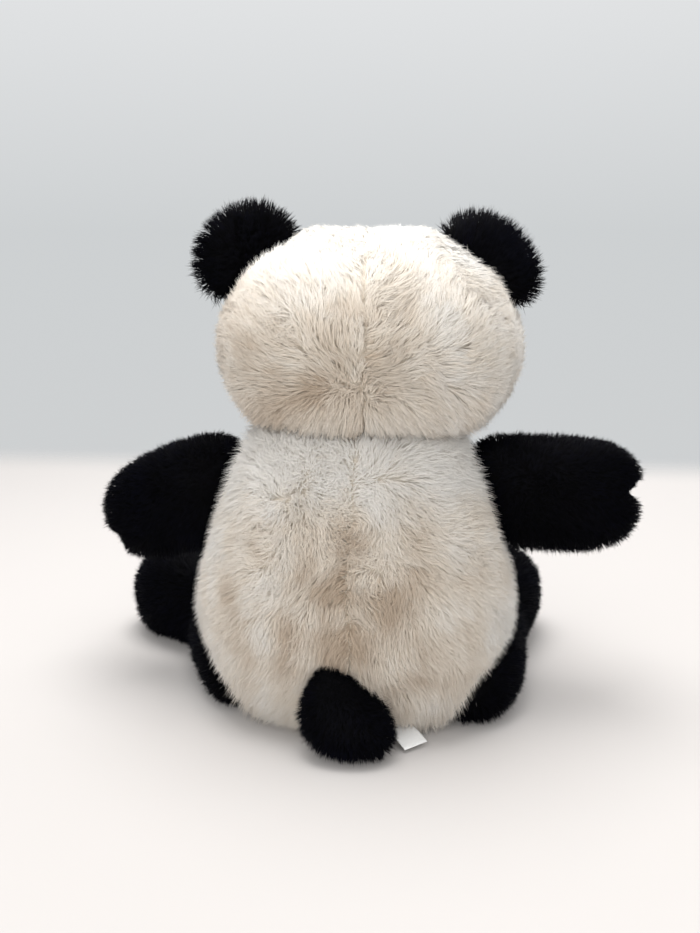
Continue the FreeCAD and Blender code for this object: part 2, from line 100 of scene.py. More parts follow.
LABEL_TOP = (-0.0225, 0.0505, 0.0062)   # middle of the label's sewn edge
STRAND_FACES = np.array([[0, 2, 1], [0, 1, 4], [0, 4, 3], [1, 2, 5], [1, 5, 4], [2, 0, 3], [2, 3, 5],
                         [3, 4, 6], [4, 5, 6], [5, 3, 6]])
STRAND_V = np.array([0.02, 0.02, 0.02, 0.5, 0.5, 0.5, 0.98])    # how far along a strand its vertices are


# ---------------------------------------------------------------- mesh helpers
def arrays(mesh):
    """(vertices, triangles) of a mesh as numpy arrays."""
    co = np.zeros(len(mesh.vertices) * 3, np.float32)
    mesh.vertices.foreach_get("co", co)
    mesh.calc_loop_triangles()
    tri = np.zeros(len(mesh.loop_triangles) * 3, np.int32)
    mesh.loop_triangles.foreach_get("vertices", tri)
    return co.reshape(-1, 3).astype(float), tri.reshape(-1, 3)


def mesh_from(name, co, faces, smooth=True):
    """A mesh of triangles or quads from numpy arrays."""
    mesh = bpy.data.meshes.new(name)
    n, k = faces.shape
    mesh.vertices.add(len(co))
    mesh.vertices.foreach_set("co", np.ascontiguousarray(co, np.float32).ravel())
    mesh.loops.add(n * k)
    mesh.loops.foreach_set("vertex_index", np.ascontiguousarray(faces, np.int32).ravel())
    mesh.polygons.add(n)
    mesh.polygons.foreach_set("loop_start", np.arange(0, n * k, k, dtype=np.int32))
    mesh.update(calc_edges=True)
    if smooth:
        mesh.shade_smooth()
    return mesh


def add(name, mesh, material=None):
    """A new object in the scene."""
    ob = bpy.data.objects.new(name, mesh)
    bpy.context.scene.collection.objects.link(ob)
    if material:
        ob.data.materials.clear()
        ob.data.materials.append(material)
    return ob


def evaluated(ob, name):
    """ob with its modifiers applied, as a new mesh; ob is removed."""
    bpy.context.view_layer.update()
    dg = bpy.context.evaluated_depsgraph_get()
    mesh = bpy.data.meshes.new_from_object(ob.evaluated_get(dg), depsgraph=dg)
    mesh.name = name
    old = ob.data
    bpy.data.objects.remove(ob)
    bpy.data.meshes.remove(old)
    return mesh


def normals_of(co, tri):
    """Area-weighted vertex normals."""
    f = np.cross(co[tri[:, 1]] - co[tri[:, 0]], co[tri[:, 2]] - co[tri[:, 0]])
    n = np.zeros_like(co)
    for k in range(3):
        np.add.at(n, tri[:, k], f)
    return unit(n)


def unit(v):
    """Rows of v at length 1."""
    return v / np.maximum(np.linalg.norm(v, axis=1, keepdims=True), 1e-12)


def outer_island(co, tri):
    """Only the connected part with the largest extent, so that inner voids go."""
    label = np.arange(len(co))
    edges = np.concatenate([tri[:, [0, 1]], tri[:, [1, 2]], tri[:, [2, 0]]])
    while True:
        low = np.minimum(label[edges[:, 0]], label[edges[:, 1]])
        new = label.copy()
        np.minimum.at(new, edges[:, 0], low)
        np.minimum.at(new, edges[:, 1], low)
        new = new[new]
        if (new == label).all():
            break
        label = new
    names = np.unique(label)
    best = max(names, key=lambda s: np.prod(np.ptp(co[label == s], axis=0) + 1e-9))
    keep = label == best
    index = np.cumsum(keep) - 1
    return co[keep], index[tri[keep[tri[:, 0]]]]


def smoothed(co, tri, times, share=0.5):
    """Laplacian smoothing."""
    edges = np.concatenate([tri[:, [0, 1]], tri[:, [1, 2]], tri[:, [2, 0]]])
    count = np.zeros(len(co))
    np.add.at(count, edges[:, 0], 1)
    for _ in range(times):
        total = np.zeros_like(co)
        np.add.at(total, edges[:, 0], co[edges[:, 1]])
        co = co + share * (total / count[:, None] - co)
    return co


def waves(points, wavelength, seed, channels=1):
    """Smooth noise of about -1 to 1 at each point, from a few plane waves; one column per channel."""
    rng = np.random.default_rng(seed)
    out = np.zeros((len(points), channels))
    for c in range(channels):
        for _ in range(7):
            k = rng.normal(size=3)
            k *= 2 * math.pi / (np.linalg.norm(k) * wavelength * rng.uniform(0.6, 1.5))
            out[:, c] += np.sin(points @ k + rng.uniform(0, 2 * math.pi))
    return out / 2.6


# ---------------------------------------------------------------- stuffed forms
def joined(names):
    """(vertices, triangles) of some CAD nodes together."""
    cos, tris, base = [], [], 0
    for name in names:
        co, tri = arrays(NODES[name].data)
        cos.append(co)
        tris.append(tri + base)
        base += len(co)
    return np.concatenate(cos), np.concatenate(tris)


def mesh_tree(names):
    """A search tree over some CAD nodes' surfaces."""
    co, tri = joined(names)
    return BVHTree.FromPolygons(co.tolist(), tri.tolist())


def remeshed(name, nodes, voxel):
    """The outer surface of some CAD nodes as one closed mesh of even faces."""
    ob = add(name, mesh_from(name, *joined(nodes), False))
    m = ob.modifiers.new("remesh", "REMESH")
    m.mode = "VOXEL"
    m.voxel_size = voxel
    co, tri = arrays(evaluated(ob, name))
    co, tri = outer_island(co, tri)
    return smoothed(co, tri, 2), tri


def nearest_panel(points, panels):
    """For each point, the number of the CAD panel that is nearest."""
    best = np.full(len(points), 1e9)
    which = np.zeros(len(points), int)
    for i, panel in enumerate(panels):
        tree = mesh_tree([panel])
        d = np.array([tree.find_nearest(p)[3] for p in points.tolist()])
        closer = d < best - 1e-7
        which[closer] = i
        best[closer] = d[closer]
    return which


def seam_distance(co, tri, panel_of_face):
    """Distance of each vertex from the nearest seam between two panels."""
    low = np.full(len(co), 99)
    high = np.full(len(co), -1)
    for k in range(3):
        np.minimum.at(low, tri[:, k], panel_of_face)
        np.maximum.at(high, tri[:, k], panel_of_face)
    seam = np.nonzero(low != high)[0]
    if not len(seam):
        return np.full(len(co), 1.0), np.zeros_like(co), seam
    tree = KDTree(len(seam))
    for i, s in enumerate(seam):
        tree.insert(co[s], i)
    tree.balance()
    found = [tree.find(p) for p in co.tolist()]
    return np.array([f[2] for f in found]), co - np.array([f[0] for f in found]), seam


def stuff(name, co, tri, seam, pressure, cap, inset):
    """The form filled like a cushion: cloth under pressure, held at its seams, no point further than cap."""
    start = co - normals_of(co, tri) * inset
    ob = add(name + "_cloth", mesh_from(name + "_cloth", start, tri))
    pins = ob.vertex_groups.new(name="seams")
    pins.add([int(s) for s in seam], 1.0, "REPLACE")
    cloth = ob.modifiers.new("cloth", "CLOTH")
    s = cloth.settings
    s.quality = 5
    s.mass = 0.15
    s.tension_stiffness = s.compression_stiffness = 12
    s.shear_stiffness = 6
    s.bending_stiffness = 0.6
    s.use_pressure = True
    s.uniform_pressure_force = pressure
    s.vertex_group_mass = "seams"
    s.effector_weights.gravity = 0.0
    scene = bpy.context.scene
    cloth.point_cache.frame_start, cloth.point_cache.frame_end = 1, CLOTH_FRAMES
    for f in range(1, CLOTH_FRAMES + 1):
        scene.frame_set(f)
    moved, _ = arrays(evaluated(ob, name))
    scene.frame_set(1)
    step = moved - start
    far = np.linalg.norm(step, axis=1, keepdims=True)
    return start + step * np.minimum(1.0, cap / np.maximum(far, 1e-9))


def subdivided(name, co, tri):
    """One Catmull-Clark step on the form, given back as vertices and quads."""
    ob = add(name, mesh_from(name, co, tri))
    m = ob.modifiers.new("sub", "SUBSURF")
    m.levels = m.render_levels = 1
    mesh = evaluated(ob, name)
    out = np.zeros(len(mesh.vertices) * 3, np.float32)
    mesh.vertices.foreach_get("co", out)
    quad = np.zeros(len(mesh.loops), np.int32)
    mesh.loops.foreach_get("vertex_index", quad)
    bpy.data.meshes.remove(mesh)
    return out.reshape(-1, 3).astype(float), quad.reshape(-1, 4)


def outside(points, tree, least, reach=8 * MM):
    """The points, moved out to at least this far from a closed solid's surface."""
    out = points.copy()
    for i, p in enumerate(points.tolist()):
        hit, normal, _, _ = tree.find_nearest(p, reach)
        if hit is not None:
            stand = (Vector(p) - hit).dot(normal)
            if stand < least:
                out[i] = hit + normal * least
    return out


def clear_of(limits):
    """A length factor that keeps the pile out of other parts.

    limits lists (nodes, no pile within this distance, full length from this distance).
    """
    trees = [(mesh_tree(names), near, far) for names, near, far in limits]

    def factor(points):
        out = np.ones(len(points))
        for tree, near, far in trees:
            hits = [tree.find_nearest(p, far) for p in points.tolist()]
            d = np.array([far if h[3] is None else h[3] for h in hits])
            out = np.minimum(out, np.where(d < near, 0.0, 0.4 + 0.6 * (d - near) / (far - near)))
        return out

    return factor


class Patch:
    """Faces without seams, to root pile on."""

    def __init__(self, name, co, tri, normal):
        self.panels, self.co, self.tri, self.normal = [name], co, tri, normal
        self.tri_panel = np.zeros(len(tri), int)
        self.seam_gap = np.full(len(co), NO_SEAM)
        self.seam_away = np.zeros_like(co)


def outer_patch(node, middle, least_facing=0.35):
    """The faces of one CAD node that look away from a middle."""
    co, tri = arrays(NODES[node].data)
    face = np.cross(co[tri[:, 1]] - co[tri[:, 0]], co[tri[:, 2]] - co[tri[:, 0]])
    out = co[tri].mean(axis=1) - np.array(middle)
    tri = tri[np.sum(unit(face) * unit(out), axis=1) > least_facing]
    return Patch(node, co, tri, normals_of(co, tri))


class Form:
    """One stuffed part: its skin after filling, cut into the panels of the CAD model.

    inner names the filling inside it, lumps and valley are the depths of its unevenness and of its seams, and
    floor is the lowest height that its skin may have.
    """

    def __init__(self, name, panels, inner, voxel=4.5 * MM, pressure=3.0, cap=4 * MM, inset=1.2 * MM,
                 lumps=0.8 * MM, valley=0.7 * MM, floor=0.6 * MM, seed=1):
        self.panels = panels
        co, tri = remeshed(name, panels + inner, voxel)
        centres = co[tri].mean(axis=1)
        which = nearest_panel(centres, panels)
        _, _, seam = seam_distance(co, tri, which)
        co = stuff(name, co, tri, seam, pressure, cap, inset)
        co = smoothed(co, tri, 1)
        dist, _, _ = seam_distance(co, tri, which)
        n = normals_of(co, tri)
        co = co + n * (waves(co, 34 * MM, seed)[:, :1] * lumps)
        co = co - n * (valley * np.exp(-(dist / SEAM_REACH) ** 2))[:, None]
        co[:, 2] = np.maximum(co[:, 2], floor)
        co, quad = subdivided(name, co, tri)
        if inner:
            co = outside(co, mesh_tree(inner), 1.5 * MM)
            co[:, 2] = np.maximum(co[:, 2], floor)
        self.co, self.quad = co, quad
        self.which = nearest_panel(co[quad].mean(axis=1), panels)
        self.tri = np.concatenate([quad[:, [0, 1, 2]], quad[:, [0, 2, 3]]])
        self.tri_panel = np.concatenate([self.which, self.which])
        self.normal = normals_of(co, self.tri)
        self.seam_gap, self.seam_away, _ = seam_distance(co, self.tri, self.tri_panel)

    def skin(self, panel, material, thickness=1.0 * MM):
        """The backing cloth of one panel, closed with its own thickness."""
        i = self.panels.index(panel)
        quad = self.quad[self.which == i]
        used = np.unique(quad)
        index = np.zeros(len(self.co), int)
        index[used] = np.arange(len(used))
        ob = add(panel + "_cloth", mesh_from(panel, self.co[used], index[quad]))
        m = ob.modifiers.new("thickness", "SOLIDIFY")
        m.thickness = thickness
        m.offset = -1
        mesh = evaluated(ob, panel)
        mesh.shade_smooth()
        return add(panel + "_skin", mesh, material)


# ---------------------------------------------------------------- pile
def fine_normals(strands):
    """Directions from each strand's own middle line to its vertices; the tip points along the strand."""
    out = np.zeros_like(strands)
    for ring in (slice(0, 3), slice(3, 6)):
        out[:, ring] = strands[:, ring] - strands[:, ring].mean(axis=1, keepdims=True)
    out[:, 6] = strands[:, 6] - strands[:, 3:6].mean(axis=1)
    return out / np.maximum(np.linalg.norm(out, axis=2, keepdims=True), 1e-12)


def nearest(places, points):
    """For each point, the number of the nearest place."""
    tree = KDTree(len(places))
    for j, p in enumerate(places.tolist()):
        tree.insert(p, j)
    tree.balance()
    return np.array([tree.find(p)[1] for p in points.tolist()])


def roots(form, panel, density, rng):
    """Places all over a panel: points, normals, distances from the nearest seam and steps away from it."""
    tri = form.tri[form.tri_panel == form.panels.index(panel)]
    a, b, c = (form.co[tri[:, k]] for k in range(3))
    area = np.linalg.norm(np.cross(b - a, c - a), axis=1) / 2
    count = np.floor(area * density + rng.random(len(tri))).astype(int)
    pick = np.repeat(np.arange(len(tri)), count)
    r1, r2 = np.sqrt(rng.random(len(pick))), rng.random(len(pick))
    weight = np.stack([1 - r1, r1 * (1 - r2), r1 * r2], 1)

    def spread(values):
        return np.einsum("nk,nk...->n...", weight, values[tri[pick]])

    return spread(form.co), unit(spread(form.normal)), spread(form.seam_gap), spread(form.seam_away)


def bunches(root, how_many, rng):
    """Strands chosen as the middles of bunches, and for each strand the number of its bunch."""
    chosen = rng.choice(len(root), max(1, int(how_many)), replace=False)
    return chosen, nearest(root[chosen], root)


def strand_verts(root, normal, tip, size, radius, guard, rng):
    """Each strand's seven vertices: a ring of three at its foot, a ring at its bend, and its tip."""
    n = len(root)
    bend = root + normal * (size * 0.5)[:, None]
    middle = 0.25 * root + 0.5 * bend + 0.25 * tip
    middle += rng.normal(size=(n, 3)) * BEND_JITTER
    tip[:, 2] = np.maximum(tip[:, 2], TIP_HEIGHT)
    middle[:, 2] = np.maximum(middle[:, 2], TIP_HEIGHT)
    foot = root - normal * ROOT_DEPTH
    axis = unit(tip - foot)
    side = unit(np.cross(axis, rng.normal(size=(n, 3))))
    up = np.cross(axis, side)
    width = radius * rng.uniform(0.75, 1.2, n) * np.where(guard, 0.75, 1.0)
    verts = np.zeros((n, 7, 3))
    for k in range(3):
        angle = 2 * math.pi * k / 3
        ring = (side * math.cos(angle) + up * math.sin(angle)) * width[:, None]
        verts[:, k] = foot + ring * 0.9
        verts[:, 3 + k] = middle + ring
    verts[:, 6] = tip
    verts[:, :, 2] = np.maximum(verts[:, :, 2], LEAST_HEIGHT)
    return verts


def strand_pieces(panel, verts, root, normal, shade, material, rng):
    """The strands as objects, each with its share of them from all over the panel."""
    n = len(root)
    uv = np.zeros((n, 7, 2), np.float32)
    uv[:, :, 0] = np.clip(shade, 0.02, 0.98)[:, None]
    uv[:, :, 1] = STRAND_V[None]
    pieces = []
    for part, chosen in enumerate(np.array_split(rng.permutation(n), -(-n // PIECE_LIMIT))):
        faces = (np.arange(len(chosen))[:, None, None] * 7 + STRAND_FACES[None]).reshape(-1, 3)
        mesh = mesh_from(panel + "_pile", verts[chosen].reshape(-1, 3), faces)
        layer = mesh.uv_layers.new(name="OFBake")
        layer.data.foreach_set("uv", uv[chosen].reshape(-1, 2)[faces.ravel()].ravel())
        soft = verts[chosen] - root[chosen, None]
        soft = unit((normal[chosen, None] * SOFTEN + fine_normals(soft)).reshape(-1, 3))
        mesh.normals_split_custom_set_from_vertices(soft)
        pieces.append(add("%s_pile_%d" % (panel, part + 1), mesh, material))
    return pieces


def pile(form, panel, kind, material, comb, seed, shorten=None, tone=None):
    """Tapered closed strands rooted all over a panel, gathered into locks and combed by a field."""
    rng = np.random.default_rng(seed)
    share = next((f for start, f in SPARSE if panel.startswith(start)), 1.0)
    density = kind["density"] * share * STRANDS
    root, normal, gap, away = roots(form, panel, density, rng)
    size = kind["length"] * np.clip(SEAM_LENGTH + gap / SEAM_FADE, 0.0, 1.0)
    if shorten is not None:
        size = size * shorten(root)
        keep = size > LEAST_STRAND
        root, normal, gap, away, size = root[keep], normal[keep], gap[keep], away[keep], size[keep]
    n = len(root)
    flow = comb(root)
    flow = flow + kind["swirl"] * waves(root, 42 * MM, seed + 1, 3)
    flow = flow + 0.25 * kind["swirl"] * waves(root, 13 * MM, seed + 2, 3)
    flow = flow + kind["part"] * np.exp(-gap / SEAM_REACH)[:, None] * unit(away + 1e-9)
    lock, owner = bunches(root, n / (kind["clump"] * share), rng)
    tuft, family = bunches(root, n / (density * kind["tuft"] ** 2), rng)
    lock_turn = rng.normal(size=(len(lock), 3)) * kind["turn"]
    lock_lean = rng.normal(size=len(lock)) * LOCK_LEAN
    lock_shade = rng.normal(size=len(lock))
    tuft_turn = rng.normal(size=(len(tuft), 3)) * kind["tuft_turn"]
    tuft_lean = rng.normal(size=len(tuft)) * TUFT_LEAN
    tuft_shade = rng.normal(size=len(tuft))
    flow = flow + tuft_turn[family] + lock_turn[owner] + rng.normal(size=(n, 3)) * kind["stray"]
    flow = unit(flow - normal * np.sum(flow * normal, axis=1, keepdims=True))
    lean = kind["lean"] + tuft_lean[family] + lock_lean[owner] + rng.normal(size=n) * STRAND_LEAN
    lean = lean + PLACE_LEAN * waves(root, 24 * MM, seed + 3)[:, 0]
    lean = np.radians(np.clip(lean, *LEAN_RANGE))
    guard = rng.random(n) < kind["guard"]       # single hairs that stand up out of the locks
    lean = np.where(guard, lean * kind["guard_lean"], lean)
    size = size * rng.uniform(0.8, 1.08, n) * np.where(guard, 1.12, 1.0)
    along = normal * np.cos(lean)[:, None] + flow * np.sin(lean)[:, None]
    free = root + along * size[:, None]         # where the tips are before locks and tufts gather them
    gather = kind["gather"] * (rng.uniform(0.5, 1.0, n) * ~guard)[:, None]
    tip = free + (free[lock[owner]] - free) * gather
    tip = tip + (free[tuft[family]] - tip) * (TUFT_PULL * ~guard)[:, None]
    tip[:, 2] -= SAG * size
    verts = strand_verts(root, normal, tip, size, kind["radius"] / math.sqrt(share), guard, rng)
    # a tone may paint light and shade into each strand's shade
    shade = 0.5 if tone is None else tone(root)
    shade = shade + SHADE_SPREAD * lock_shade[owner] + SHADE_SPREAD * tuft_shade[family]
    shade = shade + SHADE_SPREAD * rng.normal(size=n) + SHADE_WAVE * waves(root, 30 * MM, seed + 4)[:, 0]
    return strand_pieces(panel, verts, root, normal, shade, material, rng)


# ---------------------------------------------------------------- materials
def principled(name, color, roughness, **sockets):
    """A material whose uniform values sit on the shader itself."""
    m = bpy.data.materials.new(name)
    m.use_nodes = True
    p = m.node_tree.nodes["Principled BSDF"]
    p.inputs["Base Color"].default_value = (*color, 1)
    p.inputs["Roughness"].default_value = roughness
    for key, value in sockets.items():
        p.inputs[key.replace("_", " ")].default_value = value
    return m, m.node_tree, p


def ramp(tree, stops):
    """A colour ramp node with these (place, colour) stops."""
    node = tree.nodes.new("ShaderNodeValToRGB")
    while len(node.color_ramp.elements) < len(stops):
        node.color_ramp.elements.new(0.5)
    for e, (place, color) in zip(node.color_ramp.elements, stops):
        e.position = place
        e.color = (*color, 1)
    return node


def pile_material(name, stops, shades, roughness, **sockets):
    """Pile: colour runs from root to tip along v, and each strand's shade is its u, which holds its own
    random variation and any painted light and shade of its tone.
    """
    m, tree, p = principled(name, stops[-1][1], roughness, **sockets)
    uv = tree.nodes.new("ShaderNodeUVMap")
    uv.uv_map = "OFBake"
    split = tree.nodes.new("ShaderNodeSeparateXYZ")
    tree.links.new(uv.outputs[0], split.inputs[0])
    along = ramp(tree, stops)
    shade = ramp(tree, shades)
    tree.links.new(split.outputs[1], along.inputs[0])
    tree.links.new(split.outputs[0], shade.inputs[0])
    mix = tree.nodes.new("ShaderNodeMix")
    mix.data_type = "RGBA"
    mix.blend_type = "MULTIPLY"
    mix.inputs[0].default_value = 1.0
    tree.links.new(along.outputs[0], mix.inputs[6])
    tree.links.new(shade.outputs[0], mix.inputs[7])
    tree.links.new(mix.outputs[2], p.inputs["Base Color"])
    return m


def cloth_material(name, dark, light, scale, roughness=0.9, bump=0.3, **sockets):
    """Woven or knitted backing: two tones in fine noise, with a bump of the same grain."""
    m, tree, p = principled(name, light, roughness, **sockets)
    coords = tree.nodes.new("ShaderNodeTexCoord")
    noise = tree.nodes.new("ShaderNodeTexNoise")
    noise.inputs["Scale"].default_value = scale
    noise.inputs["Detail"].default_value = 6
    tree.links.new(coords.outputs["Object"], noise.inputs["Vector"])
    tone = ramp(tree, [(0.3, dark), (0.7, light)])
    tree.links.new(noise.outputs[0], tone.inputs[0])
    tree.links.new(tone.outputs[0], p.inputs["Base Color"])
    if bump:
        b = tree.nodes.new("ShaderNodeBump")
        b.inputs["Strength"].default_value = bump
        b.inputs["Distance"].default_value = 0.0004
        tree.links.new(noise.outputs[0], b.inputs["Height"])
        tree.links.new(b.outputs[0], p.inputs["Normal"])
    return m


CREAM = pile_material(
    "cream_pile",
    [(0.0, (0.90, 0.84, 0.75)), (0.35, (0.94, 0.895, 0.825)), (0.7, (0.96, 0.93, 0.875)),
     (1.0, (0.98, 0.96, 0.925))],
    # shade ramp: low u gives warm brown, high u white; the tones' painted light and shade run through it
    [(0.0, (0.62, 0.51, 0.41)), (0.5, (0.915, 0.857, 0.788)), (1.0, (1.0, 1.0, 1.0))],
    0.7, Sheen_Weight=0.2)
BLACK = pile_material(
    "black_pile",
    [(0.0, (0.0003, 0.0003, 0.0008)), (0.6, (0.0010, 0.0012, 0.0052)), (1.0, (0.0042, 0.0050, 0.0160))],
    [(0.0, (0.15, 0.15, 0.15)), (0.6, (0.35, 0.35, 0.35)), (1.0, (1.0, 1.0, 1.0))],
    0.5, Specular_IOR_Level=0.06)
CREAM_BACKING = cloth_material("cream_backing", (0.82, 0.74, 0.63), (0.90, 0.83, 0.73), 900)
BLACK_BACKING = cloth_material("black_backing", (0.0008, 0.0008, 0.001), (0.002, 0.002, 0.003), 900,
                               Specular_IOR_Level=0.1)
CREAM_PLUSH = (CREAM, CREAM_BACKING, "cream_pile")      # pile, backing and slot of each fabric
BLACK_PLUSH = (BLACK, BLACK_BACKING, "black_pile")
FIBRE = cloth_material("polyester_fibre", (0.80, 0.80, 0.80), (0.93, 0.93, 0.93), 300, bump=0)
BEAN_CLOTH = cloth_material("bean_bag_cotton", (0.78, 0.76, 0.72), (0.88, 0.87, 0.84), 1400)
SATIN = cloth_material("label_satin_weave", (0.84, 0.84, 0.83), (0.92, 0.92, 0.91), 2600, 0.45, 0.15,
                       Sheen_Weight=0.3)
CREAM_THREAD = cloth_material("cream_sewing_thread", (0.62, 0.55, 0.46), (0.78, 0.72, 0.64), 2200, 0.7)
BLACK_THREAD = cloth_material("black_mouth_thread", (0.004, 0.004, 0.004), (0.016, 0.015, 0.016), 2200, 0.55)
WASHER = cloth_material("washer_moulded_plastic", (0.82, 0.82, 0.80), (0.88, 0.88, 0.86), 120, 0.5, 0)
GLASS_BLACK, _, _ = principled("eye_polished_plastic", (0.010, 0.006, 0.004), 0.06, Specular_IOR_Level=0.35)
NOSE_BLACK = cloth_material("nose_satin_plastic", (0.008, 0.007, 0.007), (0.016, 0.014, 0.014), 420,
                            0.32, 0.12, Specular_IOR_Level=0.3)
NODE_MATERIALS = (
    ("bean_bag", BEAN_CLOTH), ("care_label", SATIN), ("closing_stitches", CREAM_THREAD),
    ("mouth_stitch", BLACK_THREAD), ("eye_washer", WASHER), ("nose_washer", WASHER),
    ("eye_patch", BLACK_BACKING), ("eye_", GLASS_BLACK), ("nose", NOSE_BLACK), ("", FIBRE),
)


# ---------------------------------------------------------------- the panda
def outward(middle, lift=0.0):
    """A comb field that runs out from a middle, less so along Y, and upwards by lift."""
    centre = np.array(middle)

    def comb(p):
        return unit(p - centre) * np.array([1.0, 0.2, 1.0]) + np.array([0, 0, lift])

    return comb


def above(x, start, run):
    """0 up to start, 1 from start + run on."""
    return np.clip((x - start) / run, 0, 1)


def below(x, start, run):
    """0 down to start, 1 from start - run on."""
    return np.clip((start - x) / run, 0, 1)


def spot(p, x, z, half_width, half_height):
    """1 at one place of the back, falling off smoothly round it."""
    return np.exp(-((p[:, 0] - x) / half_width) ** 2 - ((p[:, 2] - z) / half_height) ** 2)


def dress(form, kind, plush, body, comb, seed, joint=None, shorten=None, tone=None):
    """Skins and piles of all panels of a form, each riding on its body, or left unparented in place where a
    joint is given.
    """
    pile_mat, skin_mat, slot = plush
    for k, panel in enumerate(form.panels):
        skin = form.skin(panel, skin_mat)
        hair = pile(form, panel, kind, pile_mat, comb, seed + 10 * k, shorten, tone)
        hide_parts(panel)
        for ob in [skin] + hair:
            if joint is None:
                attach(ob, body)
            else:
                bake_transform(ob)


def side_sign(name):
    """1 on the panda's left, -1 on its right."""
    return 1 if name.endswith("left") else -1


def limb_nodes(kind):
    """The CAD panels whose names start like this."""
    return [n for n in NODES if n.startswith(kind) and "filling" not in n]


def torso():
    """The back, belly and seat, with their pile combed down."""
    form = Form("torso", ["back_panel_left", "back_panel_right", "belly_panel", "seat_panel"],
                ["torso_filling"], seed=11)

    def tone(p):
        """Warm brown across the small of the back, mostly painted shade and partly the fur's own tint; paler
        at the seat, and paler at the shoulders and flanks by painted light.
        """
        # painted shade: warm brown where less light reaches the small of the back, partly the fur's own tint
        tan_and_painted_shade = spot(p, 0, 0.062, 0.062, 0.044) * (1 + 0.35 * waves(p, 26 * MM, 5)[:, 0])
        tan_and_painted_shade = tan_and_painted_shade * (0.4 + 0.6 * above(p[:, 1], -0.01, 0.02))
        # painted light: paler shoulders where the head shades the back, and paler rim-lit flanks
        pale = 0.30 * above(p[:, 2], 0.105, 0.02) + 0.10 * above(np.abs(p[:, 0]), 0.055, 0.02)
        return 0.82 - 0.70 * tan_and_painted_shade + pale

    away = clear_of([(limb_nodes("arm_"), 1.2 * MM, 9 * MM),
                     (limb_nodes("leg_") + limb_nodes("foot_"), 1.0 * MM, 5 * MM),
                     (limb_nodes("tail_"), 1.5 * MM, 7 * MM)])

    def shorten(p):
        """Clear of the limbs and the tail, and shorter on the flanks."""
        return away(p) * (1 - 0.30 * above(np.abs(p[:, 0]), 0.054, 0.016))

    kind = dict(CREAM_PILE, gather=0.19, swirl=0.40, turn=0.16, tuft_turn=0.2, stray=0.22, lean=50,
                guard=0.22, guard_lean=0.5)
    dress(form, kind, CREAM_PLUSH, "torso", outward((0, 0, 0.090), lift=-0.5), 100,
          shorten=shorten, tone=tone)


def collar():
    """The roll of pile in the neck seam, on the neck itself."""
    around, across = 96, 10
    x, y, z = JOINTS["neck_turn"]["pos_m"]
    half_width, half_depth = 0.040, 0.032
    roll_share, roll_half_height, ripple = 0.055, 0.0021, 0.0002
    ring = []
    for k in range(around):
        a = 2 * math.pi * k / around
        for c in range(across):
            b = 2 * math.pi * c / across
            r = 1 + roll_share * math.cos(b)
            ring.append((x + half_width * r * math.cos(a), y + half_depth * r * math.sin(a),
                         z + roll_half_height * math.sin(b) + ripple * math.sin(5 * a)))
    co = np.array(ring)
    k, c = np.meshgrid(np.arange(around), np.arange(across), indexing="ij")
    k, c = k.ravel(), c.ravel()
    k2, c2 = (k + 1) % around, (c + 1) % across
    quad = np.stack([k * across + c, k2 * across + c, k2 * across + c2, k * across + c2], 1)
    roll = add("neck_seam_roll", mesh_from("neck_seam_roll", co, quad), CREAM_BACKING)
    tri = np.concatenate([quad[:, [0, 1, 2]], quad[:, [0, 2, 3]]])
    out = co[tri].mean(axis=1) - np.array((x, y, z))
    outer = np.linalg.norm(out / np.array((half_width, half_depth, 1)), axis=1) > 1.0
    form = Patch("neck_seam", co, tri[outer], normals_of(co, tri))
    kind = dict(CREAM_PILE, length=9 * MM, lean=15)
    # the tone of 0.3 all over is painted shade: the pile in the neck crease is coloured darker
    hair = pile(form, "neck_seam", kind, CREAM, outward((0, 0, 0.30)), 250,
                tone=lambda p: np.full(len(p), 0.3))
    for ob in [roll] + hair:
        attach(ob, "neck")


def head():
    """The head without its ears and its face's parts."""
    form = Form("head", ["head_back_left", "head_back_right", "face_panel_left", "face_panel_right"],
                ["head_filling"], seed=12)
    low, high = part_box("head_filling")
    middle = (low + high) / 2

    def tone(p):
        """Pale on the cheeks and, by painted light, on the crown; painted shade in warm brown low down at the
        back and beside the seam.
        """
        # painted shade: warm brown low on the back of the head, where it meets the neck
        tan_and_painted_shade = spot(p, 0.012, 0.172, 0.050, 0.028) * (1 + 0.4 * waves(p, 26 * MM, 6)[:, 0])
        # the last term is painted light on the crown, which the top light lights most
        return 0.66 - 0.36 * tan_and_painted_shade + 0.22 * above(p[:, 2], 0.205, 0.03)

    away = clear_of([(["eye_patch_left", "eye_patch_right"], 2.2 * MM, 7 * MM),
                     (["muzzle"], 1.0 * MM, 7 * MM),
                     (limb_nodes("ear_"), 0.8 * MM, 5 * MM)])

    def shorten(p):
        """Clear of the face's parts and the ears, and shorter on the face, the crown and the sides."""
        face = below(p[:, 1], -0.030, 0.02)
        crown = above(p[:, 2], 0.215, 0.016)
        side = above(np.abs(p[:, 0] - middle.x), 0.048, 0.016)
        return away(p) * (1 - 0.35 * face) * (1 - 0.48 * crown) * (1 - 0.38 * side)

    fan = outward((middle.x, middle.y + 0.040, low.z + 0.012))

    def comb(p):
        """Out of the bottom of the centre seam like a fan; the lowest pile hangs over the neck."""
        hang = below(p[:, 2], low.z + 0.022, 0.02)
        return fan(p) - 1.4 * hang[:, None] * np.array([0, 0, 1.0])

    kind = dict(CREAM_PILE, part=0.5, swirl=0.42, tuft_turn=0.2)
    dress(form, kind, CREAM_PLUSH, "head", comb, 200, shorten=shorten, tone=tone)


